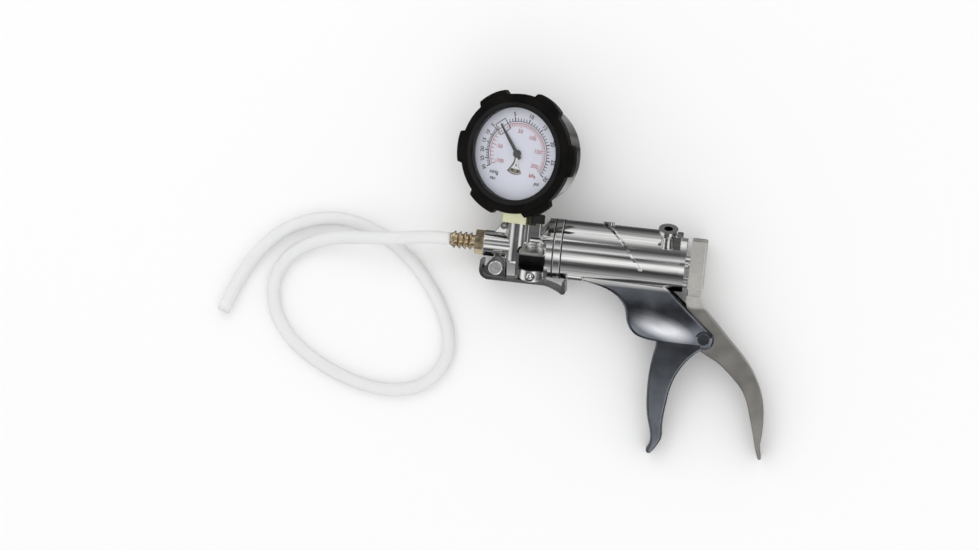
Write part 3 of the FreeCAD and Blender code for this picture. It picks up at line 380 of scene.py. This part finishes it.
# The finish of each material slot. A metal or a soft solid has a darker and a lighter colour,
# then its lowest and its highest roughness
FINISHES = {
    "polished_casting": metal("polished_casting", grey(0.58), (0.74, 0.74, 0.73), (0.08, 0.18),
                              grain_strength=0.05, stretch=(0.4, 1, 1)),
    # The lever is painted darker below its block: painted shade for its dark reflections
    "satin_casting": two_tone_metal("satin_casting", BLOCK_FOOT,
                                    above=((0.70, 0.69, 0.65), (0.84, 0.83, 0.79)),
                                    below=((0.26, 0.25, 0.235), (0.37, 0.355, 0.33)),
                                    rough_above=(0.28, 0.38), rough_below=(0.30, 0.42)),
    "steel": metal("steel", grey(0.66), grey(0.78), (0.16, 0.26)),
    "spring_steel": metal("spring_steel", grey(0.55), grey(0.68), (0.18, 0.28)),
    "dark_steel": metal("dark_steel", (0.26, 0.26, 0.27), grey(0.40), (0.14, 0.26)),
    "bronze": metal("bronze", (0.56, 0.40, 0.20), (0.70, 0.53, 0.30), (0.22, 0.36)),
    "fitting_brass": metal("fitting_brass", (0.40, 0.32, 0.20), (0.72, 0.60, 0.42), (0.16, 0.30),
                           patches=220, grain_strength=0.10),
    "socket_brass": metal("socket_brass", (0.93, 0.94, 0.60), (1.00, 1.00, 0.72), (0.32, 0.44)),
    "case_steel": banded_metal("case_steel", CASE_PAINTED_REFLECTIONS, (0.22, 0.34)),
    "boot_rubber": soft_solid("boot_rubber", grey(0.004), (0.010, 0.009, 0.008), (0.26, 0.40),
                              grain_strength=0.12, specular=0.03),
    "bezel_plastic": soft_solid("bezel_plastic", grey(0.006), grey(0.012), (0.12, 0.22),
                                grain_strength=0.05, specular=0.14),
    "lens_clear": window_material(),
    "dial_face": soft_solid("dial_face", (0.60, 0.61, 0.70), (0.65, 0.66, 0.75), (0.45, 0.6),
                            grain_strength=0.04),
    "pointer_black": soft_solid("pointer_black", (0.003, 0.003, 0.004), (0.007, 0.007, 0.008),
                                (0.40, 0.50), grain_strength=0.05, specular=0.08),
    "piston_alloy": metal("piston_alloy", grey(0.66), grey(0.76), (0.2, 0.3)),
    "ring_plastic": soft_solid("ring_plastic", (0.72, 0.70, 0.62), (0.80, 0.78, 0.70),
                               (0.4, 0.55)),
    "seal_rubber": soft_solid("seal_rubber", grey(0.012), grey(0.03), (0.45, 0.6),
                              specular=0.15),
    "hose_clear": hose_material(),
}

# The barrel with its grip: the grip below GRIP_TOP is painted dark, painted shade for its dark reflections, with a
# painted highlight on the finger guard
BARREL_WITH_PAINTED_SHADE = two_tone_metal("barrel_and_grip", GRIP_TOP,
                               above=(grey(0.50), (0.80, 0.80, 0.79)),
                               below=((0.105, 0.113, 0.130), (0.185, 0.198, 0.222)),
                               rough_above=(0.06, 0.13), rough_below=(0.12, 0.22),
                               grain_stretch=(0.02, 1, 1), painted_highlight=PAINTED_HIGHLIGHT_SPOT)
BRIGHT_STEEL = metal("bright_steel", grey(0.80), (0.94, 0.94, 0.93), (0.20, 0.30))
DULL_BRASS = metal("dull_brass", (0.15, 0.125, 0.08), (0.30, 0.25, 0.15), (0.25, 0.40))

# CAD nodes that look different from the rest of their slot
OWN_FINISHES = {
    "barrel_casting": BARREL_WITH_PAINTED_SHADE,
    "lever_pin": BARREL_WITH_PAINTED_SHADE,
    "release_valve_body": banded_metal("release_valve", VALVE_PAINTED_REFLECTIONS, (0.20, 0.32)),
    "release_screw": BRIGHT_STEEL,
    "release_spring": BRIGHT_STEEL,
}

slot_of = {part["node"]: part["material_slot"] for part in frame["record"]["subparts"]}
for name, item in nodes.items():
    item.data.materials.clear()
    item.data.materials.append(OWN_FINISHES.get(name, FINISHES[slot_of[name]]))


# ------------------------------------------------------------------ dial printing

BLACK_INK = flat_ink("black_ink", (0.012, 0.012, 0.014))
RED_INK = flat_ink("red_ink", (0.42, 0.03, 0.03))
INK_LIFT = 0.05 * MM

# The drawing of the dial is in millimetres, with angles in degrees, clockwise from its top
INK_THICK = 0.04
ZERO = -43.0                # where the scales start
VAC_SWEEP = 79.0            # back to full vacuum, 30 inHg
PSI_SWEEP = 160.0           # on to full pressure, 30 psi
FULL_MARK = 30
KPA_PER_PSI = 6.895
KPA_PER_INHG = 3.386
ZERO_GAP = 12               # left free by the arcs on each side of zero
BLACK_R = 17.6
RED_R = 16.6
BLACK_LINE = 0.35
RED_LINE = 0.28
BLACK_NUMBER_R = 21.6
RED_NUMBER_R = 12.2
RED_VAC_NUMBER_R = 11.8
BOLD = 0.022                # how far letters are thickened, as a share of their size
THIN = 0.004

# Long and short ticks: how far they reach outwards from the arc, and their width
VAC_TICKS = ((2.4, 0.55), (1.6, 0.38))
PSI_TICKS = ((2.4, 0.60), (1.7, 0.42))
RED_VAC_TICKS = ((-2.6, 0.34), (-1.8, 0.34))
RED_PSI_TICKS = ((-2.6, 0.30), (-1.7, 0.30))

# Units: the word, its radius, angle and size
BLACK_WORDS = (("inHg", 17.4, -137, 2.9), ("vac", 20.0, -143, 2.8), ("psi", 19.9, 133, 2.8))
RED_WORDS = (("kPa", 15.0, 132, 2.8),)


def around(radius, degrees):
    turn = math.radians(degrees)
    return Vector((radius * math.sin(turn), radius * math.cos(turn), 0))


def vac_angle(inches):
    return ZERO - VAC_SWEEP * inches / FULL_MARK


def psi_angle(psi):
    return ZERO + PSI_SWEEP * psi / FULL_MARK


def vac_kpa_angle(kpa):
    return vac_angle(kpa / KPA_PER_INHG)


def psi_kpa_angle(kpa):
    return psi_angle(kpa / KPA_PER_PSI)


class Ink:
    """Flat printed marks, gathered into one mesh."""

    def __init__(self):
        self.mesh = bmesh.new()

    def patch(self, corners):
        self.mesh.faces.new([self.mesh.verts.new(Vector(point)) for point in corners])

    def bar(self, start, end, width):
        side = (end - start).cross(Vector((0, 0, 1))).normalized() * width / 2
        self.patch([start - side, start + side, end + side, end - side])

    def arc(self, radius, first, last, width, step=2.0):
        count = max(2, int(abs(last - first) / step))
        turns = [first + (last - first) * index / count for index in range(count + 1)]
        for here, there in zip(turns, turns[1:]):
            self.patch([around(radius - width / 2, here), around(radius + width / 2, here),
                        around(radius + width / 2, there), around(radius - width / 2, there)])

    def arcs(self, radius, width):
        """The lines of both scales, from near zero to their full marks."""
        self.arc(radius, vac_angle(FULL_MARK), ZERO - ZERO_GAP, width)
        self.arc(radius, ZERO + ZERO_GAP, psi_angle(FULL_MARK), width)

    def ticks(self, values, angle, radius, long_step, long_tick, short_tick):
        """Ticks from a radius; those at multiples of the long step are long ones."""
        for value in values:
            reach, width = short_tick if value % long_step else long_tick
            self.bar(around(radius, angle(value)), around(radius + reach, angle(value)), width)

    def text(self, words, place, size, turn=0.0, bold=BOLD):
        curve = bpy.data.curves.new("words", "FONT")
        curve.body = words
        curve.size = size
        curve.offset = bold * size
        curve.align_x = "CENTER"
        curve.align_y = "CENTER"
        curve.resolution_u = 4
        letters = mesh_of_curve(curve)
        letters.transform(Matrix.Translation(place) @ Matrix.Rotation(-math.radians(turn), 4, "Z"))
        self.mesh.from_mesh(letters)
        bpy.data.meshes.remove(letters)

    def finish(self, name, material):
        bmesh.ops.remove_doubles(self.mesh, verts=self.mesh.verts, dist=0.001)
        thicken(self.mesh, list(self.mesh.faces), INK_THICK)
        self.mesh.transform(dial_place(INK_LIFT))
        piece(name, finished_mesh(name, self.mesh), "root", "dial_face", material, smooth=False)


def zero_box(ink):
    """Outlined field at zero, split by a line, where both scales begin."""
    foot, divide, number, top, half = 14.0, 17.2, 18.3, 20.4, 3.4
    outline, divider, number_size = 0.42, 0.3, 2.4
    turn = Matrix.Rotation(-math.radians(ZERO), 3, "Z")
    corners = [turn @ Vector(point) for point in
               ((-half, foot, 0), (half, foot, 0), (half, top, 0), (-half, top, 0))]
    for start, end in zip(corners, corners[1:] + corners[:1]):
        ink.bar(start, end, outline)
    ink.bar(turn @ Vector((-half, divide, 0)), turn @ Vector((half, divide, 0)), divider)
    ink.text("0", turn @ Vector((0, number, 0)), number_size, ZERO)


def black_marks():
    ink = Ink()
    ink.arcs(BLACK_R, BLACK_LINE)
    ink.ticks(range(3, FULL_MARK + 1), vac_angle, BLACK_R, 5, *VAC_TICKS)
    ink.ticks(range(2, FULL_MARK + 1), psi_angle, BLACK_R, 5, *PSI_TICKS)
    for angle, size in ((vac_angle, 2.9), (psi_angle, 3.1)):
        for value in range(5, FULL_MARK + 1, 5):
            ink.text(str(value), around(BLACK_NUMBER_R, angle(value)), size, angle(value))
    zero_box(ink)
    for word, radius, degrees, size in BLACK_WORDS:
        ink.text(word, around(radius, degrees), size)
    ink.finish("dial_black_marks", BLACK_INK)


def red_marks():
    ink = Ink()
    ink.arcs(RED_R, RED_LINE)
    ink.ticks(range(10, 101, 10), vac_kpa_angle, RED_R, 50, *RED_VAC_TICKS)
    ink.ticks(range(10, 206, 5), psi_kpa_angle, RED_R, 50, *RED_PSI_TICKS)
    for value in (50, 100, 150, 200):
        ink.text(str(value), around(RED_NUMBER_R, psi_kpa_angle(value)), 3.1, bold=THIN)
    for value in (50, 100):
        ink.text("-" + str(value), around(RED_VAC_NUMBER_R, vac_kpa_angle(value)), 3.0, bold=THIN)
    for word, radius, degrees, size in RED_WORDS:
        ink.text(word, around(radius, degrees), size)
    ink.finish("dial_red_marks", RED_INK)


black_marks()
red_marks()


# ------------------------------------------------------------------ linkage behind the dial

LINK_DEPTH = 1.2 * MM       # how far the linkage lies below the dial's face

# The drawing of the linkage is in millimetres
LINK_THICK = 0.5
LINK_BEVEL = 0.25
FOOT_LIFT = 0.015           # how far the dull foot lies above the plate
HOLE_LIFT = 0.03            # how far the dark discs, painted shade of the holes, lie above the plate
LINK_HALF = ((1.1, -1.0), (1.05, -4.6), (1.7, -6.6), (3.9, -9.9), (2.6, -10.8), (0.0, -11.2))
LINK_FOOT = ((-2.9, -8.5), (2.9, -8.5), (3.6, -9.8), (2.4, -10.5), (0, -10.9), (-2.4, -10.5),
             (-3.6, -9.8))
LINK_HOLES = ((-1.7, -9.3, 0.75), (1.7, -9.3, 0.75), (0.0, -6.4, 0.5))     # x, y, radius
HOLE_SHADE_MATERIAL = 1           # places in the piece's list of materials, after the plate's own
FOOT_MATERIAL = 2


def movement_link():
    """Bright bell-shaped linkage plate behind the dial's window, with dark discs as painted shade of its holes."""
    outline = [*LINK_HALF, *((-x, y) for x, y in LINK_HALF[-2::-1])]
    plate = bmesh.new()
    base = plate.faces.new([plate.verts.new((x, y, 0)) for x, y in outline])
    thicken(plate, [base], LINK_THICK)
    top = [edge for edge in plate.edges
           if all(vertex.co.z > LINK_THICK / 2 for vertex in edge.verts)]
    bmesh.ops.bevel(plate, geom=top, offset=LINK_BEVEL, segments=2, affect="EDGES")
    foot = plate.faces.new([plate.verts.new((x, y, LINK_THICK + FOOT_LIFT))
                            for x, y in LINK_FOOT])
    foot.material_index = FOOT_MATERIAL
    # The holes are not cut: dark discs laid on the plate are painted shade of them
    for x, y, radius in LINK_HOLES:
        rim = bmesh.ops.create_circle(plate, cap_ends=True, segments=20, radius=radius)["verts"]
        bmesh.ops.translate(plate, verts=rim, vec=Vector((x, y, LINK_THICK + HOLE_LIFT)))
        for face in rim[0].link_faces:
            face.material_index = HOLE_SHADE_MATERIAL
    plate.transform(dial_place(-LINK_DEPTH))
    piece("movement_link", finished_mesh("movement_link", plate), "root", "steel",
          FINISHES["steel"], FINISHES["pointer_black"], DULL_BRASS, smooth=False)


movement_link()


# ------------------------------------------------------------------ painted seam shadows

SEAM_SHADOW_HALF = 0.42 * MM             # half the width of a band
SEAM_SHADOW_DEPTH = 0.5 * MM
SEAM_SHADOW_INSET = 0.07 * MM            # how far a band lies inside the valve plate's edge
SEAM_SHADOW_STEPS = 128


def gasket_edges():
    """Dark bands in the two seams, on both sides of the valve plate: painted shadow of the seams."""
    low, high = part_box("valve_plate")
    centre = Vector((0, (low.y + high.y) / 2, (low.z + high.z) / 2))
    outer = (high.y - low.y) / 2 - SEAM_SHADOW_INSET
    inner = outer - SEAM_SHADOW_DEPTH
    profile = ((-SEAM_SHADOW_HALF, inner), (SEAM_SHADOW_HALF, inner),
               (SEAM_SHADOW_HALF, outer), (-SEAM_SHADOW_HALF, outer))
    rings = bmesh.new()
    for x in (low.x, high.x):
        loops = []
        for step in range(SEAM_SHADOW_STEPS):
            turn = 2 * math.pi * step / SEAM_SHADOW_STEPS
            out = Vector((0, math.cos(turn), math.sin(turn)))
            loops.append([rings.verts.new(centre + out * radius + Vector((x + along, 0, 0)))
                          for along, radius in profile])
        join_loops(rings, loops)
    # The dark bands are painted shadow of the seams, in dark rubber
    piece("gasket_edges", finished_mesh("gasket_edges", rings), "root", "seal_rubber",
          FINISHES["seal_rubber"], smooth=False)


gasket_edges()


# ------------------------------------------------------------------ return spring


def squeezed_spring():
    """The return spring: a copy of the CAD spring's mesh in its place, riding on the root body."""
    mesh = nodes["return_spring"].data.copy()
    mesh.name = "piston_spring"
    mesh.transform(nodes["return_spring"].matrix_world)
    mesh.materials.clear()
    spring = piece("piston_spring", mesh, "root", "spring_steel", FINISHES["spring_steel"])
    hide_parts("return_spring")
    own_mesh(spring)


squeezed_spring()


# ------------------------------------------------------------------ hose

HOSE_OUTER = 3.5 * MM
HOSE_BORE = 2.3 * MM
HOSE_SIDES = 28
HOSE_ROUTE = (
    (-0.0883, 0.0098, 0.01627), (-0.1019, 0.0098, 0.01627), (-0.1144, 0.0072, 0.01820),
    (-0.1324, 0.0054, 0.01800), (-0.1494, 0.0041, 0.01140), (-0.1649, 0.0002, 0.00540),
    (-0.1782, -0.0081, 0.00350), (-0.1861, -0.0230, 0.00350), (-0.1835, -0.0404, 0.00350),
    (-0.1723, -0.0558, 0.00350), (-0.1558, -0.0668, 0.00350), (-0.1367, -0.0744, 0.00350),
    (-0.1177, -0.0779, 0.00350), (-0.1008, -0.0754, 0.00350), (-0.0885, -0.0664, 0.00350),
    (-0.0829, -0.0532, 0.00350), (-0.0853, -0.0392, 0.00350), (-0.0915, -0.0262, 0.00350),
    (-0.1011, -0.0129, 0.00350), (-0.1136, -0.0006, 0.00350), (-0.1289, 0.0090, 0.00350),
    (-0.1473, 0.0148, 0.00350), (-0.1663, 0.0134, 0.00350), (-0.1844, 0.0044, 0.00350),
    (-0.1974, -0.0106, 0.00350), (-0.2064, -0.0274, 0.00350), (-0.2119, -0.0441, 0.00350),
)


def route_line(points):
    """Close points along the NURBS spline that has the route's points as control points."""
    curve = bpy.data.curves.new("hose_route", "CURVE")
    curve.dimensions = "3D"
    spline = curve.splines.new("NURBS")
    spline.points.add(len(points) - 1)
    for target, point in zip(spline.points, points):
        target.co = (*point, 1.0)
    spline.order_u = 3
    spline.use_endpoint_u = True
    spline.resolution_u = 10
    line = mesh_of_curve(curve)
    path = [vertex.co.copy() for vertex in line.vertices]
    bpy.data.meshes.remove(line)
    return path


def hose_tube(path):
    """Open tube with a real wall along the path."""
    side = Vector((0, 0, 1))
    crosses = []
    for index, point in enumerate(path):
        ahead = path[min(index + 1, len(path) - 1)] - path[max(index - 1, 0)]
        ahead.normalize()
        side = (side - ahead * side.dot(ahead)).normalized()
        crosses.append((point, side, ahead.cross(side)))
    tube = bmesh.new()
    loops = []
    for step in range(HOSE_SIDES):
        turn = 2 * math.pi * step / HOSE_SIDES
        out = [(point, first * math.cos(turn) + second * math.sin(turn))
               for point, first, second in crosses]
        there = [tube.verts.new(point + away * HOSE_OUTER) for point, away in out]
        back = [tube.verts.new(point + away * HOSE_BORE) for point, away in reversed(out)]
        loops.append(there + back)
    join_loops(tube, loops)
    return finished_mesh("clear_hose", tube)


hose_path = route_line(HOSE_ROUTE)
hose = piece("clear_hose", hose_tube(hose_path), "root", "hose_clear", FINISHES["hose_clear"])
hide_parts("vacuum_hose")


# ------------------------------------------------------------------ floor, light and camera

FLOOR_REACH = 3.0
EVEN_LIGHT = 0.95
LAMP_SIZE = (1.0, 0.6)

# Brightness that polished metal sees, by angle in degrees. ALONG is the angle from straight up
# towards +Y, for what faces across the barrel; ACROSS is the angle towards +X, for the rest
ALONG = ((-180, 0.25), (-150, 0.10), (-138, 0.10), (-132, 1.1), (-120, 0.90), (-98, 0.60),
         (-84, 0.42), (-72, 0.16), (-58, 0.05), (-51, 0.16), (-43, 0.75), (-32, 1.30),
         (-25, 1.15), (-19, 0.50), (-14, 0.16), (-8, 0.06), (-4, 0.22), (0, 1.10), (5, 0.70),
         (12, 0.40), (20, 0.12), (34, 0.11), (43, 0.26), (52, 0.65), (64, 1.05), (80, 0.95),
         (92, 0.50), (105, 0.34), (117, 0.16), (130, 0.05), (150, 0.10), (180, 0.25))
ACROSS = ((-90, 0.10), (-72, 0.35), (-60, 1.0), (-46, 0.90), (-36, 0.35), (-28, 0.08),
          (-15, 0.10), (-9, 0.60), (9, 0.60), (16, 1.0), (30, 1.1), (40, 0.30), (50, 0.06),
          (62, 0.08), (72, 0.80), (82, 0.90), (90, 0.15))
SIDEWAYS = (10, 18)         # degrees out of the barrel's cross-section where ACROSS takes over


def floor():
    reach = FLOOR_REACH
    mesh = bpy.data.meshes.new("floor")
    mesh.from_pydata([(-reach, -reach, 0), (reach, -reach, 0), (reach, reach, 0),
                      (-reach, reach, 0)], [], [(0, 1, 2, 3)])
    ground = show(bpy.data.objects.new("floor", mesh))
    material, _, shader = new_material("floor_pale")
    shader.inputs["Base Color"].default_value = (0.95, 0.95, 0.95, 1)
    shader.inputs["Roughness"].default_value = 0.9
    shader.inputs["Specular IOR Level"].default_value = 0.0
    ground.visible_glossy = False
    mesh.materials.append(material)


def calculate(tree, operation, *values):
    step = tree.nodes.new("ShaderNodeMath")
    step.operation = operation
    for socket, value in zip(step.inputs, values):
        feed(tree, value, socket)
    return step.outputs[0]


def strip_lights(tree, radians, brightness, reach):
    """Brightness at an angle between -reach and +reach degrees."""
    limit = math.radians(reach)
    stops = [(degrees / (2 * reach) + 0.5, grey(level)) for degrees, level in brightness]
    return colour_ramp(tree, spread(tree, radians, 0.0, 1.0, (-limit, limit)), stops)


def studio_world():
    """Even white light; polished metal sees strip lights along the barrel and across it."""
    world = bpy.data.worlds.new("studio")
    bpy.context.scene.world = world
    world.use_nodes = True
    tree = world.node_tree
    where = tree.nodes.new("ShaderNodeTexCoord")
    split = tree.nodes.new("ShaderNodeSeparateXYZ")
    feed(tree, where.outputs["Generated"], split.inputs["Vector"])
    lean = calculate(tree, "ARCTAN2", split.outputs["Y"], split.outputs["Z"])
    side = calculate(tree, "ARCSINE", split.outputs["X"])
    away = calculate(tree, "ABSOLUTE", side)
    near, far = (math.radians(value) for value in SIDEWAYS)
    colour = mixed(tree, spread(tree, away, 0.0, 1.0, (near, far)),
                   strip_lights(tree, lean, ALONG, 180), strip_lights(tree, side, ACROSS, 90))
    even = tree.nodes["Background"]
    even.inputs["Color"].default_value = (1, 1, 1, 1)
    even.inputs["Strength"].default_value = EVEN_LIGHT
    strips = tree.nodes.new("ShaderNodeBackground")
    feed(tree, colour, strips.inputs["Color"])
    rays = tree.nodes.new("ShaderNodeLightPath")
    choice = tree.nodes.new("ShaderNodeMixShader")
    feed(tree, rays.outputs["Is Glossy Ray"], choice.inputs["Fac"])
    feed(tree, even.outputs["Background"], choice.inputs[1])
    feed(tree, strips.outputs["Background"], choice.inputs[2])
    feed(tree, choice.outputs["Shader"], tree.nodes["World Output"].inputs["Surface"])


def soft_light(name, place, power):
    """Rectangular lamp that points at the frame's origin."""
    lamp = bpy.data.lights.new(name, "AREA")
    lamp.shape = "RECTANGLE"
    lamp.size, lamp.size_y = LAMP_SIZE
    lamp.energy = power
    holder = show(bpy.data.objects.new(name, lamp))
    holder.location = place
    holder.rotation_euler = (-Vector(place)).to_track_quat("-Z", "Y").to_euler()


VIEW_WIDTH = 537.9 * MM     # how much of the barrel's plane the picture covers across
CAMERA_AWAY = 1.6
CAMERA_LOOKS_AT = Vector((-0.0648, -0.0077, 0.0164))
CAMERA_YAW = math.radians(5.0)
CAMERA_ROLL = math.radians(6.4)
SENSOR = 36.0               # in millimetres, like the lens


def camera():
    lens = bpy.data.cameras.new("camera")
    lens.sensor_width = SENSOR
    lens.lens = SENSOR * CAMERA_AWAY / VIEW_WIDTH
    lens.clip_end = 20.0
    back = Vector((math.sin(CAMERA_YAW), 0, math.cos(CAMERA_YAW)))
    up = Vector((-math.sin(CAMERA_ROLL), math.cos(CAMERA_ROLL), 0))
    right = up.cross(back).normalized()
    up = back.cross(right).normalized()
    place = Matrix((right, up, back)).transposed().to_4x4()
    place.translation = CAMERA_LOOKS_AT + back * CAMERA_AWAY
    view = show(bpy.data.objects.new("camera", lens))
    view.matrix_world = place
    bpy.context.scene.camera = view


floor()
studio_world()
soft_light("key", (-0.6, 0.8, 1.2), 2)
soft_light("fill", (0.6, -0.8, 1.1), 1)
bpy.context.scene.view_settings.view_transform = "Standard"
camera()

bpy.context.view_layer.update()
